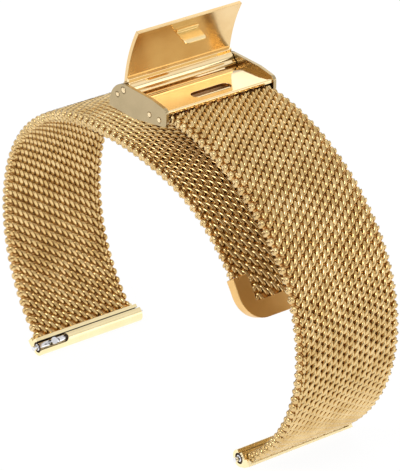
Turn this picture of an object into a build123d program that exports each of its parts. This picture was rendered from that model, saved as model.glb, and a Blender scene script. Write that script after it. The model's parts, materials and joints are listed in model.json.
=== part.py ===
from build123d import *
import math
import os

os.makedirs("parts", exist_ok=True)

# A woven mesh watch band of two straps, in millimetres and degrees. X runs along the loop from
# the long strap's lug to the short strap's lug, Y across the band and Z up. The band stands on
# its two lug tubes, and the origin is the middle of the whole band's box at the floor.

# Widths across the band, and the ribs that the rows of the weave make on both faces
lug_width = 22.0
lug_play = 0.35
mesh_margin = 1.0
mesh_width = lug_width - 2 * mesh_margin
mesh_thickness = 1.7
rib_pitch = 2.6
rib_depth = 0.5
rib_margin = 0.8
seat_gap = 0.02
running_gap = 0.03
cut_overrun = 1.0

# Loop: distance between the lug tubes, and the bends of each strap from its tube onwards
lug_spacing = 56.6
long_lift_angle = 133.8
long_rise_radius = 29.9
long_rise_angle = 60.4
long_shoulder_radius = 23.6
long_shoulder_angle = 67.7
long_top_radius = 64.4
long_top_angle = 23.5
long_tail_radius = 29.9
long_tail_angle = 53.4
short_lift_angle = 27.7
short_rise_radius = 28.8
short_rise_angle = 31.4
short_side_radius = 25.8
short_side_angle = 71.2
short_top_radius = 38.0
short_top_angle = 45.4

# Lug tubes, with the slot that lets the release knob out. The tube's axis is a drop inside the
# middle of the mesh, and its wall is open along a seam next to the inner jaw
tube_radius = 1.5
tube_drop = 0.45
tube_ahead = 0.1
bore_radius = 0.95
jaw_wall = 0.4
jaw_reach = 1.4
outer_jaw_reach = 2.1
jaw_depth = 0.35
jaw_slope = 0.55
jaw_play = 0.05
seam_start = 0.45
seam_width = 0.35
knob_slot_width = 1.6
knob_slot_length = 5.7
knob_slot_tilt = 10.0

# Spring bars
barrel_radius = 0.85
barrel_wall = 0.15
barrel_inset = 0.1
barrel_end_wall = 0.8
tip_radius = 0.4
shoulder_radius = 0.56
tip_reach = 0.9
release_travel = 1.3
knob_radius = 0.45
knob_reach = 0.75
knob_inset = 2.4
knob_cap_radius = 0.6
knob_cap_height = 0.3
collar_length = 3.2
spring_length = 5.0
spring_wire = 0.16
spring_turns = 9

# Metal end of the long strap
tip_length = 7.4
tip_corner = 4.5
tip_above = 0.75
tip_below = 1.2
inlay_margin = 3.0

# Clasp, in its own frame: x runs forward along the short strap, zero where the strap leaves it
clasp_front = 2.3
plate_behind_hinge = 3.75
plate_thickness = 0.6
plate_top = 2.5
plate_bottom = 2.55
plate_rear_radius = 4.6
plate_front_top = 1.95
plate_front_bottom = 1.0
plate_front_corner = 0.9
plate_top_corner = 5.0
plate_foot_corner = 0.35
plate_top_x = -1.6
base_length = 6.4
base_thickness = 0.35
base_inset = 0.15
deck_top = 1.55
deck_thickness = 0.5
deck_front_inset = 0.3
deck_ramp_length = 2.95
deck_ramp_drop = 0.7
deck_lip_drop = 0.12
deck_corner = 0.3
slot_length = 7.6
slot_width = 2.2
grip_length = 0.1
clamp_thickness = 0.4
clamp_length = 4.2
clamp_front = 1.0
strap_pin_radius = 0.3
strap_pin_x = 0.45
rear_pin_x = -2.1
strap_pin_drop = 0.3
strap_pin_head = 0.4
pin_head_height = 0.08
pin_recess_gap = 0.12
pin_recess_depth = 0.15

# Flap with its cam, drawn shut and then swung open about the hinge
hinge_z = 1.4
hinge_pin_radius = 0.5
guide_pin_radius = 0.4
guide_pin_angle = 218.0
guide_pin_gap = 0.35
flap_open_angle = 71.5
flap_side_gap = 0.1
flap_length = 11.1
flap_front_gap = 0.25
flap_thickness = 0.7
flap_radius = 26.0
flap_root_height = 0.85
flap_rest_gap = 0.2
knuckle_radius = 1.25
cam_press_gap = 0.05
cam_sweep_gap = 0.3
cam_nose_width = 1.1
cam_nose_corner = 0.4
cam_web_length = 1.9
cam_web_depth = 0.35
hook_width = 4.2
hook_from_end = 2.4
hook_sheet = 0.3
hook_tongue = 2.5
hook_lean = 0.2
hook_corner = 0.6
hook_foot = 0.5


def step_along(place, length, angle):
    """The point a length away from a place (x, z), in a direction in degrees."""
    x, z = place
    return (
        x + length * math.cos(math.radians(angle)),
        z + length * math.sin(math.radians(angle)),
    )


def follow(start, heading, bends):
    """Tangent arcs of a strap; each bend is a radius and a turn, positive to the left."""
    arcs = []
    place = start
    for radius, turn in bends:
        side = math.copysign(1, turn)
        centre = step_along(place, radius, heading + side * 90)
        arcs.append((centre, radius, side, heading, abs(turn)))
        heading = heading + turn
        place = step_along(centre, radius, heading - side * 90)
    return arcs


def route_length(arcs):
    return sum(radius * math.radians(turn) for centre, radius, side, heading, turn in arcs)


def find_arc(arcs, distance):
    """The arc at a distance along the route, and the turn made on it so far."""
    for arc in arcs:
        length = arc[1] * math.radians(arc[4])
        if distance <= length or arc is arcs[-1]:
            return arc, math.degrees(distance / arc[1])
        distance = distance - length


def place_at(arcs, distance, offset=0):
    """Point and heading at a distance along the route, moved to its left by the offset."""
    (centre, radius, side, heading, turn), turned = find_arc(arcs, distance)
    heading = heading + side * turned
    return step_along(centre, radius - side * offset, heading - side * 90), heading


def strip_edges(arcs, start, end, offset):
    """Arc edges of one face of a strap, from start to end along its route."""
    edges = []
    done = 0
    for arc in arcs:
        length = arc[1] * math.radians(arc[4])
        low = max(start, done)
        high = min(end, done + length) if arc is not arcs[-1] else end
        if high > low:
            points = [place_at([arc], part - done, offset)[0] for part in (low, (low + high) / 2, high)]
            edges.append(Edge.make_three_point_arc(*[Vector(x, 0, z) for x, z in points]))
        done = done + length
    return edges


def strip(arcs, start, end, below, above, width):
    """A curved band along a route, between two offsets from it and centred across the band."""
    low = strip_edges(arcs, start, end, below)
    high = strip_edges(arcs, start, end, above)
    caps = [Edge.make_line(low[0] @ 0, high[0] @ 0), Edge.make_line(low[-1] @ 1, high[-1] @ 1)]
    face = Face(Wire(low + high + caps))
    return extrude(face, amount=width / 2, dir=(0, 1, 0), both=True)


def ribbed_edges(arcs, start, end, offset):
    """Arc edges of a strap's face from start to end, each rib a crown between two grooves."""
    count = round((end - start) / rib_pitch)
    pitch = (end - start) / count
    depth = math.copysign(rib_depth, offset)
    edges = []
    for rib in range(count):
        places = [start + (rib + part) * pitch for part in (0, 1 / 2, 1)]
        offsets = [offset - depth, offset, offset - depth]
        points = [place_at(arcs, place, level)[0] for place, level in zip(places, offsets)]
        edges.append(Edge.make_three_point_arc(*[Vector(x, 0, z) for x, z in points]))
    return edges


def woven_strip(arcs, start, end, width):
    """A strap of mesh with ribs across both faces, plain for a margin at its two ends."""
    rib_start = start + rib_margin
    rib_end = end - rib_margin
    faces = []
    for side in (-1, 1):
        offset = side * half_mesh
        edges = strip_edges(arcs, start, rib_start, offset)
        ribs = ribbed_edges(arcs, rib_start, rib_end, offset)
        edges.append(Edge.make_line(edges[-1] @ 1, ribs[0] @ 0))
        edges = edges + ribs
        tail = strip_edges(arcs, rib_end, end, offset)
        edges.append(Edge.make_line(edges[-1] @ 1, tail[0] @ 0))
        faces.append(edges + tail)
    low, high = faces
    caps = [Edge.make_line(low[0] @ 0, high[0] @ 0), Edge.make_line(low[-1] @ 1, high[-1] @ 1)]
    face = Face(Wire(low + high + caps))
    return extrude(face, amount=width / 2, dir=(0, 1, 0), both=True)


def rounded(corners):
    """Face in the XZ plane from corners (x, z, radius), each corner rounded by its radius."""
    edges = []
    ends = []
    count = len(corners)
    for index, (x, z, radius) in enumerate(corners):
        here = Vector(x, 0, z)
        before = Vector(corners[index - 1][0], 0, corners[index - 1][1])
        after = Vector(corners[(index + 1) % count][0], 0, corners[(index + 1) % count][1])
        back = (before - here).normalized()
        ahead = (after - here).normalized()
        if radius == 0:
            ends.append((here, here))
            continue
        half = back.get_angle(ahead) / 2
        reach = radius / math.tan(math.radians(half))
        bisector = (back + ahead).normalized()
        middle = here + bisector * (radius / math.sin(math.radians(half)) - radius)
        first = here + back * reach
        last = here + ahead * reach
        edges.append(Edge.make_three_point_arc(first, middle, last))
        ends.append((first, last))
    for index in range(count):
        edges.append(Edge.make_line(ends[index][1], ends[(index + 1) % count][0]))
    return Face(Wire(edges))


def slab(face, low, high):
    """An XZ face carried across the band from one Y to another."""
    return Pos(0, low, 0) * extrude(face, amount=high - low, dir=(0, 1, 0))


def rod(radius, low, high, x=0, z=0):
    return Solid.make_cylinder(radius, high - low, Plane(origin=(x, low, z), z_dir=(0, 1, 0)))


def block(low, high):
    size = [high[axis] - low[axis] for axis in range(len(low))]
    middle = [(high[axis] + low[axis]) / 2 for axis in range(len(low))]
    return Pos(*middle) * Box(*size)


def radial_rod(radius, low, high, y, angle):
    """A rod across a tube's axis, at a y along it and an angle in the XZ plane."""
    out = Vector(math.cos(math.radians(angle)), 0, math.sin(math.radians(angle)))
    return Solid.make_cylinder(radius, high - low, Plane(origin=out * low + Vector(0, y, 0), z_dir=out))


def radial_slot(width, reach, low, high, angle):
    """A slot through one wall of a tube, round at its high end, along an angle."""
    out = Vector(math.cos(math.radians(angle)), 0, math.sin(math.radians(angle)))
    straight = block((0, low, -width / 2), (reach, high - width / 2, width / 2))
    straight = Plane(origin=(0, 0, 0), x_dir=out, z_dir=out.cross(Vector(0, 1, 0))).location * straight
    return straight + radial_rod(width / 2, 0, reach, high - width / 2, angle)


# Routes of the two straps. Both bend around the wrist, so their outer face is on the left of
# the long strap's route and on the right of the short one's
long_route = follow(
    (0, 0),
    long_lift_angle,
    [
        (long_rise_radius, -long_rise_angle),
        (long_shoulder_radius, -long_shoulder_angle),
        (long_top_radius, -long_top_angle),
        (long_tail_radius, -long_tail_angle),
    ],
)
short_route = follow(
    (lug_spacing, 0),
    short_lift_angle,
    [
        (short_rise_radius, short_rise_angle),
        (short_side_radius, short_side_angle),
        (short_top_radius, short_top_angle),
    ],
)
long_reach = route_length(long_route)
short_reach = route_length(short_route)
half_mesh = mesh_thickness / 2
half_tube = lug_width / 2 - lug_play
pocket_x = jaw_reach - jaw_depth
mesh_start = pocket_x + tube_ahead

# The clasp's frame, where the short strap leaves it: x forward down the strap, z outward
clasp_point, clasp_heading = place_at(short_route, short_reach)
clasp_tilt = 180 - clasp_heading
clasp_place = Location((clasp_point[0], 0, clasp_point[1]), (0, clasp_tilt, 0))


def face_place(point, heading, outside):
    """A frame with x along a strap, z to the band's outside and y across the band."""
    along = (math.cos(math.radians(heading)), 0, math.sin(math.radians(heading)))
    out = (math.cos(math.radians(outside)), 0, math.sin(math.radians(outside)))
    return Plane(origin=(point[0], 0, point[1]), x_dir=along, z_dir=out).location


def lug_place(point, heading, outside):
    """Frame of a lug, centred on its tube, from the point where the strap's route starts."""
    return face_place(point, heading, outside) * Pos(tube_ahead, 0, -tube_drop)


long_lug = lug_place((0, 0), long_lift_angle, long_lift_angle + 90)
short_lug = lug_place((lug_spacing, 0), short_lift_angle, short_lift_angle - 90)

# In a lug's frame the knob slot looks to the band's inside, leaning away from the strap
knob_angle = -90 - knob_slot_tilt
tube_end = -half_tube
knob_y = tube_end + knob_inset
barrel_end = tube_end + barrel_inset
barrel_bore = barrel_radius - barrel_wall
core_radius = barrel_bore - running_gap
collar_start = barrel_end + barrel_end_wall + running_gap
collar_end = collar_start + collar_length
fixed_start = collar_end + spring_length


def make_lug_tube():
    inner = tube_drop - half_mesh - jaw_wall
    outer = tube_drop + half_mesh + jaw_wall
    tube = rod(tube_radius, tube_end, -tube_end)
    profile = rounded(
        [
            (0, inner, 0),
            (jaw_reach, inner, 0),
            (jaw_reach, tube_drop, 0),
            (outer_jaw_reach, tube_drop, 0),
            (outer_jaw_reach, outer, 0),
            (jaw_slope, outer, 0),
            (0, tube_radius, 0),
        ]
    )
    jaws = slab(profile, tube_end, -tube_end)
    half_pocket = half_mesh + jaw_play
    half_opening = mesh_width / 2 + seat_gap
    pocket = block(
        (pocket_x - jaw_play, -half_opening, tube_drop - half_pocket),
        (outer_jaw_reach + cut_overrun, half_opening, tube_drop + half_pocket),
    )
    below = block(
        (seam_start, tube_end - cut_overrun, -tube_radius - cut_overrun),
        (tube_radius + cut_overrun, -tube_end + cut_overrun, inner),
    )
    seam = block(
        (seam_start, tube_end - cut_overrun, -tube_radius),
        (seam_start + seam_width, -tube_end + cut_overrun, 0),
    )
    bore = rod(bore_radius, tube_end - cut_overrun, -tube_end + cut_overrun)
    slot = radial_slot(
        knob_slot_width,
        tube_radius + cut_overrun,
        tube_end - cut_overrun,
        tube_end + knob_slot_length,
        knob_angle,
    )
    return tube + jaws - pocket - below - seam - bore - slot


def make_barrel():
    barrel = rod(barrel_radius, barrel_end, -barrel_end)
    inside = rod(barrel_bore, barrel_end + barrel_end_wall, -barrel_end - barrel_end_wall)
    tips = rod(shoulder_radius + running_gap, barrel_end - cut_overrun, -barrel_end + cut_overrun)
    reach = barrel_radius + cut_overrun
    knob_low = knob_y - knob_radius - running_gap * 2
    knob_high = knob_y + release_travel + knob_radius + running_gap * 2
    width = (knob_radius + running_gap) * 2
    window = radial_slot(width, reach, knob_low + width / 2, knob_high, knob_angle)
    window = window + radial_rod(width / 2, 0, reach, knob_low + width / 2, knob_angle)
    return barrel - inside - tips - window


def make_fixed_pin():
    core = rod(core_radius, fixed_start, -collar_start)
    shoulder = rod(shoulder_radius, -collar_start, -tube_end)
    tip = rod(tip_radius, -tube_end, -tube_end + tip_reach)
    return core + shoulder + tip


def make_sliding_pin():
    collar = rod(core_radius, collar_start, collar_end)
    shoulder = rod(shoulder_radius, tube_end, collar_start)
    tip = rod(tip_radius, tube_end - tip_reach, tube_end)
    socket = radial_rod(knob_radius, 0, barrel_radius, knob_y, knob_angle)
    return collar + shoulder + tip - socket


def make_knob():
    stem = radial_rod(knob_radius, 0, tube_radius + knob_reach, knob_y, knob_angle)
    top = tube_radius + knob_reach
    cap = radial_rod(knob_cap_radius, top - knob_cap_height, top, knob_y, knob_angle)
    return stem + cap


def make_bar_spring():
    coil_radius = core_radius - spring_wire / 2
    height = spring_length - spring_wire - running_gap * 2
    foot = collar_end + spring_wire / 2 + running_gap
    helix = Edge.make_helix(height / spring_turns, height, coil_radius)
    section = Plane(origin=helix @ 0, z_dir=helix % 0)
    wire = sweep(section * Circle(spring_wire / 2), path=helix)
    return Location((0, foot, 0), (-90, 0, 0)) * wire


def make_long_mesh():
    end = long_reach - tip_length
    band = woven_strip(long_route, mesh_start, end, mesh_width)
    tongue_end = long_reach - inlay_margin
    tongue_width = mesh_width - 2 * inlay_margin
    tongue = strip(long_route, end, tongue_end, -half_mesh, half_mesh, tongue_width)
    return band + tongue


def make_strap_tip():
    start = long_reach - tip_length
    body = strip(long_route, start, long_reach, -tip_below, tip_above, mesh_width)
    inlay_width = mesh_width - 2 * inlay_margin + 2 * seat_gap
    inlay = strip(
        long_route,
        start - cut_overrun,
        long_reach - inlay_margin + seat_gap,
        -half_mesh,
        half_mesh + cut_overrun,
        inlay_width,
    )
    point, heading = place_at(long_route, long_reach)
    plan = RectangleRounded(2 * tip_length, mesh_width, tip_corner)
    trim = extrude(Pos(-tip_length, 0) * plan, amount=tip_length, both=True)
    trim = face_place(point, heading, heading + 90) * trim
    return body & trim - inlay


def make_short_mesh():
    band = woven_strip(short_route, mesh_start, short_reach, mesh_width)
    grip = block((-grip_length, -mesh_width / 2, -half_mesh), (0, mesh_width / 2, half_mesh))
    hole = rod(strap_pin_radius + seat_gap, -lug_width, lug_width, strap_pin_x, -strap_pin_drop)
    return band + clasp_place * grip - clasp_place * hole


# Places inside the clasp that its pieces share
half_clasp = lug_width / 2
inner_half = half_clasp - plate_thickness
recess_floor = half_clasp - pin_recess_depth
hinge_x = clasp_front - flap_front_gap - flap_length
rear_x = hinge_x - plate_behind_hinge
nose_radius = hinge_z + plate_bottom - base_thickness - mesh_thickness - cam_press_gap
deck_rear_x = hinge_x + nose_radius + cam_sweep_gap
guide_pin_place = step_along(
    (hinge_x, hinge_z),
    knuckle_radius + guide_pin_gap + guide_pin_radius,
    guide_pin_angle,
)


def plate_pins():
    """Places, radii and head radii of the four pins that cross the clasp."""
    return [
        (hinge_x, hinge_z, hinge_pin_radius, hinge_pin_radius),
        (guide_pin_place[0], guide_pin_place[1], guide_pin_radius, guide_pin_radius),
        (rear_pin_x, -strap_pin_drop, strap_pin_radius, strap_pin_head),
        (strap_pin_x, -strap_pin_drop, strap_pin_radius, strap_pin_head),
    ]


def make_side_plate(side):
    face = rounded(
        [
            (rear_x, -plate_bottom, plate_foot_corner),
            (rear_x + base_length, -plate_bottom, 0),
            (clasp_front, -plate_front_bottom, plate_front_corner),
            (clasp_front, plate_front_top, plate_front_corner),
            (plate_top_x, plate_top, plate_top_corner),
            (rear_x, plate_top, plate_rear_radius),
        ]
    )
    low = min(side * inner_half, side * half_clasp)
    recess_low = min(side * recess_floor, side * lug_width)
    recess_high = max(side * recess_floor, side * lug_width)
    plate = slab(face, low, low + plate_thickness)
    for x, z, radius, head in plate_pins():
        plate = plate - rod(radius, -lug_width, lug_width, x, z)
        plate = plate - rod(head + pin_recess_gap, recess_low, recess_high, x, z)
    return plate


def make_base_plate():
    low = rear_x + base_inset
    high = rear_x + base_length
    return block((low, -inner_half, -plate_bottom), (high, inner_half, base_thickness - plate_bottom))


def make_deck():
    front = clasp_front - deck_front_inset
    ramp_x = deck_rear_x + deck_ramp_length
    under = deck_top - deck_thickness
    face = rounded(
        [
            (deck_rear_x, under - deck_ramp_drop, 0),
            (deck_rear_x, deck_top - deck_ramp_drop, 0),
            (ramp_x, deck_top, 0),
            (front, deck_top, deck_corner),
            (front, under - deck_lip_drop, 0),
            (front - deck_thickness, under - deck_lip_drop, 0),
            (front - deck_thickness, under, 0),
            (ramp_x, under, 0),
        ]
    )
    deck = slab(face, -inner_half, inner_half)
    plan = SlotOverall(slot_length, slot_width, rotation=90)
    hole = extrude(Pos(slot_middle, 0, 0) * plan, amount=deck_top + cut_overrun)
    return deck - hole


def make_clamp_plate():
    top = -half_mesh - seat_gap
    return block(
        (clamp_front - clamp_length, -inner_half, top - clamp_thickness),
        (clamp_front, inner_half, top),
    )


def make_cross_pin(x, z, radius, head):
    reach = half_clasp + pin_head_height
    pin = rod(radius, -recess_floor, recess_floor, x, z)
    return pin + rod(head, -reach, -recess_floor, x, z) + rod(head, recess_floor, reach, x, z)


def flap_arc(drop):
    """The flap's outer arc when shut, or one a drop below it, from the hinge to its free end."""
    tip_z = deck_top + flap_rest_gap + flap_thickness - drop
    root_z = hinge_z + flap_root_height - drop
    sag = flap_length**2 / (8 * flap_radius)
    return [
        Vector(hinge_x, 0, root_z),
        Vector(hinge_x + flap_length / 2, 0, (root_z + tip_z) / 2 + sag),
        Vector(hinge_x + flap_length, 0, tip_z),
    ]


def flap_face(top, bottom):
    upper = flap_arc(top)
    lower = flap_arc(bottom)
    edges = [
        Edge.make_three_point_arc(*upper),
        Edge.make_three_point_arc(*lower),
        Edge.make_line(upper[0], lower[0]),
        Edge.make_line(upper[-1], lower[-1]),
    ]
    return Face(Wire(edges))


def swing_open(piece):
    """Turn a piece that is drawn shut about the hinge to where the flap stands."""
    about = Location((hinge_x, 0, hinge_z), (0, -flap_open_angle, 0))
    return about * Pos(-hinge_x, 0, -hinge_z) * piece


half_flap = inner_half - flap_side_gap
hook_x = hinge_x + flap_length - hook_from_end
slot_middle = hook_x - hook_sheet / 2


def make_flap_cover():
    cover = slab(flap_face(0, flap_thickness), -half_flap, half_flap)
    return cover - rod(knuckle_radius, -lug_width, lug_width, hinge_x, hinge_z)


def make_flap_cam():
    half_nose = cam_nose_width / 2
    face = rounded(
        [
            (hinge_x - half_nose, hinge_z, 0),
            (hinge_x - half_nose, hinge_z - nose_radius, cam_nose_corner),
            (hinge_x + half_nose, hinge_z - nose_radius, cam_nose_corner),
            (hinge_x + half_nose, hinge_z, 0),
        ]
    )
    web = rounded(
        [
            (hinge_x, hinge_z - cam_web_depth, 0),
            (hinge_x + cam_web_length, hinge_z, 0),
            (hinge_x + cam_web_length, hinge_z + knuckle_radius, 0),
            (hinge_x, hinge_z + knuckle_radius, 0),
        ]
    )
    cam = slab(face, -half_flap, half_flap) + slab(web, -half_flap, half_flap)
    above = slab(flap_face(-cut_overrun, flap_thickness), -lug_width, lug_width)
    cam = cam - above
    cam = cam + rod(knuckle_radius, -half_flap, half_flap, hinge_x, hinge_z)
    return cam - rod(hinge_pin_radius + running_gap, -lug_width, lug_width, hinge_x, hinge_z)


def make_flap_hook():
    """A tongue that stands out of the flap's inner face, on a short foot."""
    high = deck_top + flap_rest_gap + flap_thickness
    low = high - flap_thickness - hook_tongue
    face = rounded(
        [
            (hook_x - hook_sheet - hook_lean, low, 0),
            (hook_x - hook_lean, low, 0),
            (hook_x, high, 0),
            (hook_x - hook_sheet, high, 0),
        ]
    )
    outline = Plane.YZ * RectangleRounded(hook_width, 2 * hook_tongue, hook_corner)
    trim = extrude(Pos(hook_x, 0, low + hook_tongue) * outline, amount=hook_tongue, both=True)
    tongue = slab(face, -hook_width / 2, hook_width / 2) & trim
    above = slab(flap_face(-cut_overrun, flap_thickness), -lug_width, lug_width)
    foot = slab(flap_face(flap_thickness, flap_thickness + hook_sheet), -hook_width / 2, hook_width / 2)
    keep = block((hook_x - hook_sheet, -hook_width, 0), (hook_x + hook_foot, hook_width, high))
    return tongue - above + (foot & keep)


def make_all():
    pieces = {
        "long_mesh_strap": make_long_mesh(),
        "short_mesh_strap": make_short_mesh(),
        "strap_end_tip": make_strap_tip(),
    }
    for name, lug in (("long", long_lug), ("short", short_lug)):
        pieces[name + "_lug_tube"] = lug * make_lug_tube()
        pieces[name + "_bar_barrel"] = lug * make_barrel()
        pieces[name + "_bar_fixed_pin"] = lug * make_fixed_pin()
        pieces[name + "_bar_sliding_pin"] = lug * make_sliding_pin()
        pieces[name + "_bar_release_knob"] = lug * make_knob()
        pieces[name + "_bar_spring"] = lug * make_bar_spring()
    pins = plate_pins()
    clasp = {
        "clasp_near_side_plate": make_side_plate(-1),
        "clasp_far_side_plate": make_side_plate(1),
        "clasp_base_plate": make_base_plate(),
        "clasp_deck": make_deck(),
        "strap_clamp_plate": make_clamp_plate(),
        "flap_hinge_pin": make_cross_pin(*pins[0]),
        "strap_guide_pin": make_cross_pin(*pins[1]),
        "rear_cross_pin": make_cross_pin(*pins[2]),
        "front_strap_pin": make_cross_pin(*pins[3]),
        "flap_cover": swing_open(make_flap_cover()),
        "flap_cam": swing_open(make_flap_cam()),
        "flap_hook": swing_open(make_flap_hook()),
    }
    for name, piece in clasp.items():
        pieces[name] = clasp_place * piece
    return pieces


def main():
    pieces = make_all()
    box = Compound(children=[Compound(piece.solids()) for piece in pieces.values()]).bounding_box()
    shift = Pos(-(box.min.X + box.max.X) / 2, 0, -box.min.Z)
    for name, piece in pieces.items():
        export_step(shift * Compound(piece.solids()), "parts/" + name + ".step")
    print("shift", shift.position)
    print("clasp at", clasp_point, "tilt", clasp_tilt)


main()
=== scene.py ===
import bmesh
import bpy
import json
import math
import numpy as np
from mathutils import Matrix, Vector

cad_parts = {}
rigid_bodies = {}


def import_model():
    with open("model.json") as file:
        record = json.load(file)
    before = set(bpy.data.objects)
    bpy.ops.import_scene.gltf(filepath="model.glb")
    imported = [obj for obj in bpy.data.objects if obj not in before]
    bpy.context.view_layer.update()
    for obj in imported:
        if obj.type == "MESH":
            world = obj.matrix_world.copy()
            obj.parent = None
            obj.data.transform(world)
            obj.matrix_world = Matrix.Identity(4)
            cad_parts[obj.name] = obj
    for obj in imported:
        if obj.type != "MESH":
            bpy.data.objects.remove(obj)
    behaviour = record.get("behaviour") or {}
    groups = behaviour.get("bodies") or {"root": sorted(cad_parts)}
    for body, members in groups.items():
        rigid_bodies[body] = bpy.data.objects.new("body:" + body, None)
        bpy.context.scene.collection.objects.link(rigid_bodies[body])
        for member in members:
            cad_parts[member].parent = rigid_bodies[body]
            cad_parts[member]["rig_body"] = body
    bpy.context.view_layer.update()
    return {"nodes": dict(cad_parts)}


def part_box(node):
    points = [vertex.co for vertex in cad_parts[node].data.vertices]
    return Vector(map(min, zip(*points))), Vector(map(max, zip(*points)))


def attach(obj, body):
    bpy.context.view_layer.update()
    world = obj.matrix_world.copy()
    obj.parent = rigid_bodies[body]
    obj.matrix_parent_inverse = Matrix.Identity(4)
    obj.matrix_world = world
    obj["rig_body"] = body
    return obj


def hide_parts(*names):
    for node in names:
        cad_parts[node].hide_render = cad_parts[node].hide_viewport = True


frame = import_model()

MM = 0.001

# Camera at the photograph's angle, made before everything that is judged through it
CAMERA_AT = Vector((0.4260428, -0.31057, 0.25596))
CAMERA_RIGHT = Vector((0.6051458, 0.79503815, -0.0413872))
CAMERA_UP = Vector((-0.29170368, 0.26980214, 0.91766866))
CAMERA_BACK = Vector((0.74074795, -0.54325053, 0.39518518))
camera_data = bpy.data.cameras.new("camera")
camera = bpy.data.objects.new("camera", camera_data)
bpy.context.scene.collection.objects.link(camera)
bpy.context.scene.camera = camera
camera_data.sensor_width = 36
camera_data.lens = 269.08
camera_data.clip_start = 0.01
camera_data.clip_end = 10
turn = Matrix((CAMERA_RIGHT, CAMERA_UP, CAMERA_BACK)).transposed().to_4x4()
camera.matrix_world = Matrix.Translation(CAMERA_AT) @ turn

# Routes of the two straps, with the values of the CAD source, in millimetres and degrees
LONG_START = (-31.6409, 1.11636)
LONG_HEADING = 133.8
LONG_TURNS = [(29.9, -60.4), (23.6, -67.7), (64.4, -23.5), (29.9, -53.4)]
LUG_SPAN = 56.6
SHORT_HEADING = 27.7
SHORT_TURNS = [(28.8, 31.4), (25.8, 71.2), (38.0, 45.4)]


def follow(start, heading, bends):
    """Tangent arcs of a strap (centre, radius, side, heading and length), its end and heading there."""
    arcs = []
    x, z = start
    for radius, bend in bends:
        side = math.copysign(1, bend)
        across = math.radians(heading + side * 90)
        centre = (x + radius * math.cos(across), z + radius * math.sin(across))
        arcs.append((centre, radius, side, heading, radius * math.radians(abs(bend))))
        heading = heading + bend
        across = math.radians(heading - side * 90)
        x = centre[0] + radius * math.cos(across)
        z = centre[1] + radius * math.sin(across)
    return arcs, (x, z), heading


def on_route(route, along, offset):
    """Points (x, z) at distances along a route, moved to its left by offsets; straight past its end."""
    arcs, end, end_heading = route
    x = np.zeros_like(along)
    z = np.zeros_like(along)
    done = 0.0
    for centre, radius, side, heading, length in arcs:
        on_arc = ((along >= done) | (done == 0)) & (along <= done + length)
        angle = np.radians(heading) + side * (along - done) / radius - side * math.pi / 2
        reach = radius - side * offset
        x = np.where(on_arc, centre[0] + reach * np.cos(angle), x)
        z = np.where(on_arc, centre[1] + reach * np.sin(angle), z)
        done += length
    way = math.radians(end_heading)
    past = along - done
    x = np.where(past > 0, end[0] + past * math.cos(way) - offset * math.sin(way), x)
    z = np.where(past > 0, end[1] + past * math.sin(way) + offset * math.cos(way), z)
    return x, z


long_route = follow(LONG_START, LONG_HEADING, LONG_TURNS)
short_route = follow((LONG_START[0] + LUG_SPAN, LONG_START[1]), SHORT_HEADING, SHORT_TURNS)
long_reach = sum(arc[4] for arc in long_route[0])
short_reach = sum(arc[4] for arc in short_route[0])

# Metals: lowest and highest colour, range of roughness, then stretch, scale and bump of the scratches
EVEN = (1, 1, 1)
LENGTHWISE = (1, 0.04, 1)
METALS = {
    # Wires: the same gold, its colour darkened as painted shade so that the mesh reads darker than the
    # tubes; its tone changes at random
    "wire_gold_painted_shade": ((0.60, 0.405, 0.165), (0.75, 0.55, 0.27), (0.15, 0.25), EVEN, 6000, 0.10),
    "gold_polish": ((0.90, 0.69, 0.38), (0.94, 0.73, 0.42), (0.06, 0.12), LENGTHWISE, 5000, 0.03),
    "gold_satin": ((0.72, 0.50, 0.24), (0.76, 0.55, 0.28), (0.17, 0.21), EVEN, 8000, 0.02),
    # Side plates: the same gold as the rest, its colour darkened as painted shade for the dim floor
    # they mirror
    "gold_side": ((0.40, 0.31, 0.17), (0.44, 0.34, 0.19), (0.20, 0.26), (1, 1, 0.05), 5000, 0.05),
    # Lug tubes: the same gold made paler, a painted highlight for the bright light they mirror
    "gold_tube": ((0.88, 0.73, 0.42), (0.92, 0.77, 0.46), (0.17, 0.23), LENGTHWISE, 5000, 0.03),
    "gold_hook": ((0.92, 0.72, 0.38), (0.95, 0.76, 0.42), (0.12, 0.16), EVEN, 6000, 0.03),
    "gold_pin": ((0.80, 0.62, 0.36), (0.84, 0.66, 0.40), (0.10, 0.18), EVEN, 4000, 0.05),
    # Core: a sheet that is not in the real mesh; its saturated brown is painted shade for the depths of
    # the weave
    "core_painted_shade": ((0.74, 0.44, 0.17), (0.80, 0.50, 0.20), (0.35, 0.50), EVEN, 3000, 0.10),
    # Painted shade: a near-black metal for bores, slot walls, barrel ends and the pins between the side
    # plates
    "painted_shade_dark": ((0.045, 0.025, 0.01), (0.07, 0.04, 0.018), (0.55, 0.70), EVEN, 3000, 0.10),
    # Painted shade: a brown metal for the deck's slot and underside, the base plate's top and the clamp
    # plate beneath
    "gold_brown": ((0.46, 0.22, 0.06), (0.54, 0.27, 0.08), (0.30, 0.40), EVEN, 3000, 0.10),
    "gold_tip": ((0.76, 0.48, 0.18), (0.82, 0.53, 0.21), (0.38, 0.44), EVEN, 6000, 0.03),
    "bright_steel": ((0.70, 0.70, 0.72), (0.80, 0.80, 0.82), (0.12, 0.22), (1, 0.05, 1), 5000, 0.05),
}
TONE_SCALE = 300
TONE_LOW = 0.35
TONE_HIGH = 0.65
BUMP_DEPTH = 0.00002
# The metal of painted shade is made less metallic and less shiny, so that its shade shows no grey
# highlights
DARK_METALLIC = 0.2
DARK_SPECULAR = 0.2


def new_material(name):
    material = bpy.data.materials.new(name)
    material.use_nodes = True
    nodes = material.node_tree.nodes
    return material, nodes, material.node_tree.links, nodes["Principled BSDF"]


def ramp(nodes, stops):
    node = nodes.new("ShaderNodeValToRGB")
    elements = node.color_ramp.elements
    while len(elements) < len(stops):
        elements.new(0.5)
    for element, (place, colour) in zip(elements, stops):
        element.position = place
        element.color = (*colour, 1)
    return node


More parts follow.
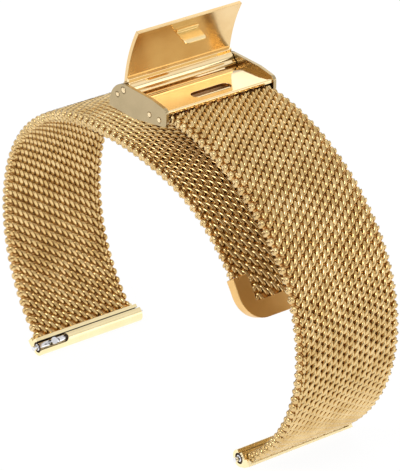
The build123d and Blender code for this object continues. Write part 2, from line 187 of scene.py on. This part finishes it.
def noise(nodes, links, scale, stretch, detail):
    """Noise in object space, scale per metre, with a stretch along each axis."""
    where = nodes.new("ShaderNodeTexCoord")
    mapping = nodes.new("ShaderNodeMapping")
    mapping.inputs["Scale"].default_value = stretch
    links.new(where.outputs["Object"], mapping.inputs["Vector"])
    node = nodes.new("ShaderNodeTexNoise")
    node.inputs["Scale"].default_value = scale
    node.inputs["Detail"].default_value = detail
    links.new(mapping.outputs["Vector"], node.inputs["Vector"])
    return node


def metal(name, low, high, rough, stretch, scale, bump):
    """Metal with a slow change of tone, and fine scratches in its roughness and bump."""
    material, nodes, links, shader = new_material(name)
    shader.inputs["Metallic"].default_value = 1.0
    tone = noise(nodes, links, TONE_SCALE, EVEN, detail=3.0)
    colours = ramp(nodes, [(TONE_LOW, low), (TONE_HIGH, high)])
    links.new(tone.outputs["Fac"], colours.inputs["Fac"])
    links.new(colours.outputs["Color"], shader.inputs["Base Color"])
    fine = noise(nodes, links, scale, stretch, detail=2.0)
    spread = nodes.new("ShaderNodeMapRange")
    spread.inputs["To Min"].default_value = rough[0]
    spread.inputs["To Max"].default_value = rough[1]
    links.new(fine.outputs["Fac"], spread.inputs["Value"])
    links.new(spread.outputs["Result"], shader.inputs["Roughness"])
    bumps = nodes.new("ShaderNodeBump")
    bumps.inputs["Strength"].default_value = bump
    bumps.inputs["Distance"].default_value = BUMP_DEPTH
    links.new(fine.outputs["Fac"], bumps.inputs["Height"])
    links.new(bumps.outputs["Normal"], shader.inputs["Normal"])
    return material


metals = {name: metal(name, *values) for name, values in METALS.items()}
dark = metals["painted_shade_dark"].node_tree.nodes["Principled BSDF"]
dark.inputs["Metallic"].default_value = DARK_METALLIC
dark.inputs["Specular IOR Level"].default_value = DARK_SPECULAR

# Woven mesh: flat wire coils lie across a strap, each threaded through the one before it
MESH_WIDTH = 20.0
MESH_THICKNESS = 1.7
MESH_START = 0.95
TIP_LENGTH = 7.4
TIP_OVERLAP = 0.4
INLAY_MARGIN = 3.0
INLAY_WIDTH = MESH_WIDTH - 2 * INLAY_MARGIN
INLAY_BURIED = 0.9
GRIP_LENGTH = 0.1
WIRE = 0.70
WIRE_SIDES = 6
COIL_GAP = 0.786
COIL_PITCH = 2.164
COIL_HALF_LENGTH = 0.86
COIL_HALF_HEIGHT = (MESH_THICKNESS - WIRE) / 2
COIL_FLATNESS = 0.75
COIL_STEPS = 12
SPARE_TURNS = 0.9
EDGE_RUN = 0.6
EDGE_HALF_LENGTH = 0.36
EDGE_HALF_HEIGHT = 0.46
# Of a coil: inset in wires, lead in pitches, share of the shrinking, pitches it runs on at an edge
OUTER_COIL = (0, 0.0, 1.0, 0.9)
INNER_COIL = (1, 0.5, 0.6, 0.3)
# Half thickness, margin and step of the core, a sheet of painted shade between the two faces of the
# coils
CORE_HALF = 0.15
CORE_MARGIN = 0.28
CORE_STEP = 0.8


def tube_faces(rings, sides):
    """Faces of a closed tube through rings of points, with an even number of points in each ring."""
    first = np.arange(rings - 1)[:, None] * sides
    a = np.arange(sides)[None, :]
    b = (a + 1) % sides
    wall = np.stack([first + a, first + b, first + b + sides, first + a + sides], 2).reshape(-1, 4)
    cap = np.array([(0, k, k + 1, k + 2) for k in range(1, sides - 1, 2)])
    return np.concatenate([wall, cap[:, ::-1], cap + (rings - 1) * sides])


def mesh_piece(name, verts, faces, material, smooth):
    """A piece of four-sided faces that rides with the band and takes the finish of its mesh."""
    mesh = bpy.data.meshes.new(name)
    mesh.vertices.add(len(verts))
    mesh.vertices.foreach_set("co", np.asarray(verts, np.float32).ravel())
    faces = np.asarray(faces, np.int32)
    mesh.loops.add(faces.size)
    mesh.loops.foreach_set("vertex_index", faces.ravel())
    mesh.polygons.add(len(faces))
    mesh.polygons.foreach_set("loop_start", np.arange(len(faces), dtype=np.int32) * 4)
    mesh.polygons.foreach_set("loop_total", np.full(len(faces), 4, np.int32))
    mesh.polygons.foreach_set("use_smooth", np.full(len(faces), smooth))
    mesh.update(calc_edges=True)
    mesh.validate()
    mesh.materials.append(material)
    piece = bpy.data.objects.new(name, mesh)
    bpy.context.scene.collection.objects.link(piece)
    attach(piece, "band")
    return piece


def coil(width, inset, lead, shrink, run_on):
    """Points of one coil about its own middle (along, across, out) and its faces."""
    most = width / 2 - WIRE / 2
    reach = most - inset * WIRE
    turns = most / COIL_PITCH + SPARE_TURNS
    phase = np.linspace(-turns, turns, int(2 * turns * COIL_STEPS)) * 2 * math.pi
    across = COIL_PITCH * (phase / (2 * math.pi) + lead)
    shown = np.abs(across) <= reach + COIL_PITCH * run_on
    phase = phase[shown]
    across = across[shown]
    near_edge = np.clip((np.abs(across) - (reach - EDGE_RUN)) / EDGE_RUN, 0, 1) * shrink
    half_length = COIL_HALF_LENGTH + (EDGE_HALF_LENGTH - COIL_HALF_LENGTH) * near_edge
    half_height = COIL_HALF_HEIGHT + (EDGE_HALF_HEIGHT - COIL_HALF_HEIGHT) * near_edge
    c = np.cos(phase)
    s = np.sin(phase)
    out = half_height * np.sign(s) * np.abs(s) ** COIL_FLATNESS
    line = np.stack([-half_length * c, np.clip(across, -reach, reach), out], 1)
    tangent = np.gradient(line, axis=0)
    tangent /= np.linalg.norm(tangent, axis=1)[:, None]
    radial = np.stack([-c, np.zeros_like(c), s], 1)
    radial -= (radial * tangent).sum(1)[:, None] * tangent
    radial /= np.linalg.norm(radial, axis=1)[:, None]
    angle = (np.arange(WIRE_SIDES) / WIRE_SIDES * 2 * math.pi)[None, :, None]
    ring = np.cos(angle) * radial[:, None, :] + np.sin(angle) * np.cross(tangent, radial)[:, None, :]
    points = (line[:, None, :] + ring * WIRE / 2).reshape(-1, 3)
    return points, tube_faces(len(line), WIRE_SIDES)


def make_coils(name, node, route, outside, end, narrow_from):
    """The coils from the lug to the end of a strap, as narrow as the inlay past a distance along it."""
    wide = [coil(MESH_WIDTH, *OUTER_COIL), coil(MESH_WIDTH, *INNER_COIL)]
    narrow = [coil(INLAY_WIDTH, *OUTER_COIL), coil(INLAY_WIDTH, *INNER_COIL)]
    room = end - MESH_START - 2 * COIL_HALF_LENGTH - WIRE
    count = int(round(room / COIL_GAP)) + 1
    gap = room / (count - 1)
    verts = []
    faces = []
    base = 0
    for index in range(count):
        middle = MESH_START + COIL_HALF_LENGTH + WIRE / 2 + gap * index
        points, coil_faces = (wide if middle < narrow_from else narrow)[index % 2]
        x, z = on_route(route, middle + points[:, 0], points[:, 2] * outside)
        verts.append(np.stack([x, points[:, 1], z], 1) * MM)
        faces.append(coil_faces[:, ::outside] + base)
        base += len(points)
    # The coils take the wire gold, darkened as painted shade
    coils = mesh_piece(name, np.concatenate(verts), np.concatenate(faces), metals["wire_gold_painted_shade"], True)
    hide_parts(node)


def make_shade_core(name, route, end, narrow_from):
    """A thin brown sheet inside a mesh strap, which the real weave lacks: painted shade for the depths
    between the coils, so that nothing shines through there.
    """
    last = end - CORE_MARGIN
    places = np.append(np.arange(MESH_START + CORE_MARGIN, last, CORE_STEP), last)
    half = np.where(places < narrow_from, MESH_WIDTH / 2, INLAY_WIDTH / 2) - CORE_MARGIN
    corners = []
    for side, out in ((-1, -1), (1, -1), (1, 1), (-1, 1)):
        x, z = on_route(route, places, np.full_like(places, out * CORE_HALF))
        corners.append(np.stack([x, half * side, z], 1) * MM)
    verts = np.stack(corners, 1).reshape(-1, 3)
    mesh_piece(name, verts, tube_faces(len(places), 4), metals["core_painted_shade"], False)


long_end = long_reach - INLAY_MARGIN + INLAY_BURIED
long_tip = long_reach - TIP_LENGTH
short_end = short_reach + GRIP_LENGTH
make_coils("long_strap_coils", "long_mesh_strap", long_route, 1, long_end, long_tip + TIP_OVERLAP)
make_coils("short_strap_coils", "short_mesh_strap", short_route, -1, short_end, math.inf)
make_shade_core("long_strap_shade_core", long_route, long_end, long_tip)
make_shade_core("short_strap_shade_core", short_route, short_end, math.inf)

# Rounded copies of the CAD nodes in view, with their inner faces in darker metals as painted shade
MERGE_DISTANCE = 0.000002
FLAT_ANGLE = math.radians(1)
SHARP_ANGLE = math.radians(32)
ROUNDING_SEGMENTS = 3
BORE_REACH = 1.05 * MM
SLOT_REACH = 1.38 * MM
SLOT_LENGTH = 8.0 * MM
RIM = 0.1 * MM
PIN_REACH = (MESH_WIDTH / 2 - 1.4) * MM
DECK_SLOT_X = 7.29 * MM
SQUARE_ON = 0.9
HALFWAY = 0.5


def is_end(face):
    """Whether a face closes the end of a tube or barrel."""
    return abs(face.normal.y) > SQUARE_ON


def inside_tube(strap):
    """A test for the faces in the bore and round the slot of a strap's lug tube, which get painted
    shade.
    """
    low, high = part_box(strap + "_bar_barrel")
    x, z = (low.x + high.x) / 2, (low.z + high.z) / 2
    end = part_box(strap + "_lug_tube")[1].y

    def is_inside(face):
        middle = face.calc_center_median()
        if is_end(face) and abs(middle.y) > end - RIM:
            return False
        away = Vector((middle.x - x, 0, middle.z - z))
        if away.length < BORE_REACH:
            return True
        at_slot = middle.y < SLOT_LENGTH - end and away.length < SLOT_REACH
        return at_slot and abs(face.normal.dot(away.normalized())) < HALFWAY

    return is_inside


def under_deck(face):
    """Whether a face of a pin lies between the side plates, where it gets painted shade."""
    return abs(face.calc_center_median().y) < PIN_REACH


def inside_deck(face):
    """Whether a face is the deck's underside or a wall of its slot, which faces the slot's middle;
    these get painted shade.
    """
    middle = face.calc_center_median()
    inwards = (DECK_SLOT_X - middle.x) * face.normal.x - middle.y * face.normal.y
    return face.normal.z < -HALFWAY or (face.normal.z < HALFWAY and inwards > 0)


def inside_base(face):
    """Whether a face is the top of the base plate, which gets painted shade inside the clasp."""
    return face.normal.z > HALFWAY


def soften(node, width, material, slot, is_inside=None, inside="painted_shade_dark"):
    """A copy of a CAD node with its sharp edges rounded, which stands for it."""
    mesh = frame["nodes"][node].data.copy()
    mesh.name = node + "_soft"
    mesh.materials.clear()
    mesh.materials.append(metals[material])
    mesh.materials.append(metals[inside])
    piece = bpy.data.objects.new(node + "_soft", mesh)
    bpy.context.scene.collection.objects.link(piece)
    work = bmesh.new()
    work.from_mesh(mesh)
    bmesh.ops.remove_doubles(work, verts=work.verts, dist=MERGE_DISTANCE)
    bmesh.ops.dissolve_limit(work, angle_limit=FLAT_ANGLE, verts=work.verts, edges=work.edges)
    # Faces that pass the test get the second metal, which paints shade on them
    for face in work.faces:
        face.material_index = 1 if is_inside and is_inside(face) else 0
    bmesh.ops.bevel(
        work,
        geom=[e for e in work.edges if len(e.link_faces) == 2 and e.calc_face_angle(0) > SHARP_ANGLE],
        offset=width * MM,
        offset_type="OFFSET",
        segments=ROUNDING_SEGMENTS,
        profile=0.5,
        affect="EDGES",
        clamp_overlap=True,
    )
    for face in work.faces:
        face.smooth = True
    work.to_mesh(mesh)
    work.free()
    piece.modifiers.new("normals", "WEIGHTED_NORMAL").keep_sharp = True
    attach(piece, frame["nodes"][node]["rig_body"])
    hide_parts(node)


# Of each: width of the rounding, metal and slot, and for some the test for inner faces and the metal of
# their painted shade
SOFT = {
    # The side plates take the gold darkened as painted shade
    "clasp_near_side_plate": (0.12, "gold_side", "polished_gold"),
    "clasp_far_side_plate": (0.12, "gold_side", "polished_gold"),
    # The base plate's top, the deck's underside and slot walls and the whole clamp plate are brown,
    # painted shade
    "clasp_base_plate": (0.08, "gold_polish", "polished_gold", inside_base, "gold_brown"),
    "clasp_deck": (0.06, "gold_polish", "polished_gold", inside_deck, "gold_brown"),
    "strap_clamp_plate": (0.06, "gold_brown", "polished_gold"),
    "flap_cover": (0.12, "gold_satin", "polished_gold"),
    "flap_cam": (0.08, "gold_polish", "polished_gold"),
    "flap_hook": (0.06, "gold_hook", "polished_gold"),
    "strap_end_tip": (0.18, "gold_tip", "polished_gold"),
    # The lug tubes take the gold made paler as a painted highlight
    "long_lug_tube": (0.08, "gold_tube", "polished_gold", inside_tube("long")),
    "short_lug_tube": (0.08, "gold_tube", "polished_gold", inside_tube("short")),
    # The pins are dark between the side plates, painted shade
    "flap_hinge_pin": (0.14, "gold_pin", "pin_gold", under_deck),
    "strap_guide_pin": (0.14, "gold_pin", "pin_gold", under_deck),
    "rear_cross_pin": (0.14, "gold_pin", "pin_gold", under_deck),
    "front_strap_pin": (0.14, "gold_pin", "pin_gold", under_deck),
    # The barrels' ends are dark, painted shade
    "long_bar_barrel": (0.06, "bright_steel", "bar_steel", is_end),
    "short_bar_barrel": (0.06, "bright_steel", "bar_steel", is_end),
}
for node, values in SOFT.items():
    soften(node, *values)

# The CAD nodes that stay, the pins, knobs and springs of the spring bars, are steel
for node, thing in frame["nodes"].items():
    if node not in SOFT and "mesh_strap" not in node:
        for holder in thing.material_slots:
            holder.material = metals["bright_steel"]

# Floor, lamps and a studio that the metal can mirror
FLOOR_HALF = 3.0
LAMP_AIM = Vector((0, 0, 0.03))
STUDIO_SHADES = [
    (0.0, (0.15, 0.14, 0.13)),
    (0.50, (0.18, 0.17, 0.16)),
    (0.58, (0.22, 0.22, 0.22)),
    (0.68, (0.75, 0.75, 0.75)),
    (0.80, (1.05, 1.05, 1.05)),
    (1.0, (0.80, 0.80, 0.80)),
]


def weigh(nodes, links, path, seen, mirrored):
    """One value for what the camera sees and another for what metal mirrors, nought for other rays."""
    for_metal = nodes.new("ShaderNodeMath")
    for_metal.operation = "MULTIPLY"
    for_metal.inputs[1].default_value = mirrored
    links.new(path.outputs["Is Glossy Ray"], for_metal.inputs[0])
    value = nodes.new("ShaderNodeMath")
    value.operation = "MULTIPLY_ADD"
    value.inputs[1].default_value = seen
    links.new(path.outputs["Is Camera Ray"], value.inputs[0])
    links.new(for_metal.outputs["Value"], value.inputs[2])
    return value.outputs["Value"]


def make_floor():
    """A matt floor that glows white for the camera and for what the metal mirrors."""
    material, nodes, links, shader = new_material("floor_white")
    shader.inputs["Base Color"].default_value = (0.80, 0.80, 0.80, 1)
    shader.inputs["Roughness"].default_value = 0.9
    shader.inputs["Specular IOR Level"].default_value = 0.1
    path = nodes.new("ShaderNodeLightPath")
    glow = nodes.new("ShaderNodeEmission")
    links.new(weigh(nodes, links, path, seen=1.03, mirrored=1.30), glow.inputs["Strength"])
    mix = nodes.new("ShaderNodeMixShader")
    links.new(weigh(nodes, links, path, seen=0.92, mirrored=0.90), mix.inputs["Fac"])
    links.new(shader.outputs["BSDF"], mix.inputs[1])
    links.new(glow.outputs["Emission"], mix.inputs[2])
    links.new(mix.outputs["Shader"], nodes["Material Output"].inputs["Surface"])
    sides = ((-1, -1), (1, -1), (1, 1), (-1, 1))
    corners = [(x * FLOOR_HALF, y * FLOOR_HALF, 0) for x, y in sides]
    mesh = bpy.data.meshes.new("floor")
    mesh.from_pydata(corners, [], [(0, 1, 2, 3)])
    mesh.materials.append(material)
    floor = bpy.data.objects.new("floor", mesh)
    bpy.context.scene.collection.objects.link(floor)


def make_lamp(name, at, size, energy):
    data = bpy.data.lights.new(name, "AREA")
    data.shape = "RECTANGLE"
    data.size, data.size_y = size
    data.energy = energy
    lamp = bpy.data.objects.new(name, data)
    lamp.location = at
    lamp.rotation_euler = (LAMP_AIM - Vector(at)).to_track_quat("-Z", "Y").to_euler()
    bpy.context.scene.collection.objects.link(lamp)


def make_world():
    """A studio, dark at the horizon and white overhead, which the camera sees as plain white."""
    world = bpy.data.worlds.new("studio")
    bpy.context.scene.world = world
    world.use_nodes = True
    nodes = world.node_tree.nodes
    links = world.node_tree.links
    where = nodes.new("ShaderNodeTexCoord")
    split = nodes.new("ShaderNodeSeparateXYZ")
    links.new(where.outputs["Generated"], split.inputs["Vector"])
    height = nodes.new("ShaderNodeMapRange")
    height.inputs["From Min"].default_value = -1.0
    height.inputs["From Max"].default_value = 1.0
    links.new(split.outputs["Z"], height.inputs["Value"])
    shades = ramp(nodes, STUDIO_SHADES)
    links.new(height.outputs["Result"], shades.inputs["Fac"])
    studio = nodes["Background"]
    studio.inputs["Strength"].default_value = 1.0
    links.new(shades.outputs["Color"], studio.inputs["Color"])
    plain = nodes.new("ShaderNodeBackground")
    plain.inputs["Color"].default_value = (1, 1, 1, 1)
    plain.inputs["Strength"].default_value = 1.0
    path = nodes.new("ShaderNodeLightPath")
    mix = nodes.new("ShaderNodeMixShader")
    links.new(path.outputs["Is Camera Ray"], mix.inputs["Fac"])
    links.new(studio.outputs["Background"], mix.inputs[1])
    links.new(plain.outputs["Background"], mix.inputs[2])
    links.new(mix.outputs["Shader"], nodes["World Output"].inputs["Surface"])


make_floor()
make_lamp("key", (0.25, -0.75, 0.75), (0.35, 0.35), 3.0)
make_lamp("side", (0.75, 0.5, 0.12), (0.9, 0.3), 1.3)
make_lamp("top", (-0.5, 0.4, 0.55), (0.7, 0.5), 0.7)
make_world()
bpy.context.scene.view_settings.view_transform = "Standard"
